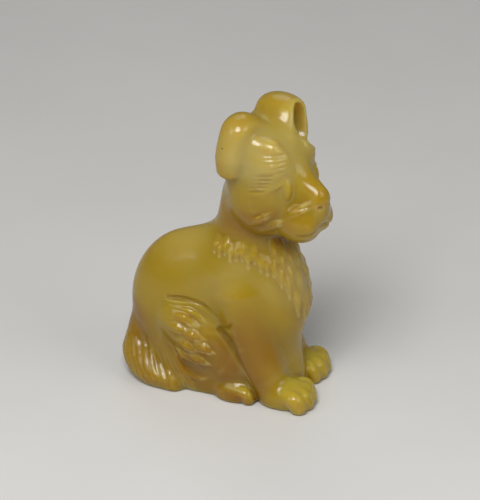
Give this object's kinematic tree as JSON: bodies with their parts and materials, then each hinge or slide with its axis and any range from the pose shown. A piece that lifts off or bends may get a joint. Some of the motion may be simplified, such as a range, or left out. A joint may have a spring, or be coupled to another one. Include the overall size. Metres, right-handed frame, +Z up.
{
  "type": "carved dog figurine",
  "caption": "Small seated puppy with folded ears, head turned to its right, carved in the round from one lump of polished butterscotch amber.",
  "frame": {"origin": "on the ground, under the middle of the figure's outer box", "axes": "+Z up from the ground to the ears, +X the way the body faces, +Y to the dog's left"},
  "size_m": [0.0314, 0.0162, 0.045],
  "materials": {
    "amber": "polished"
  },
  "bodies": {
    "root": {"dog": "amber"}
  },
  "joints": []
}
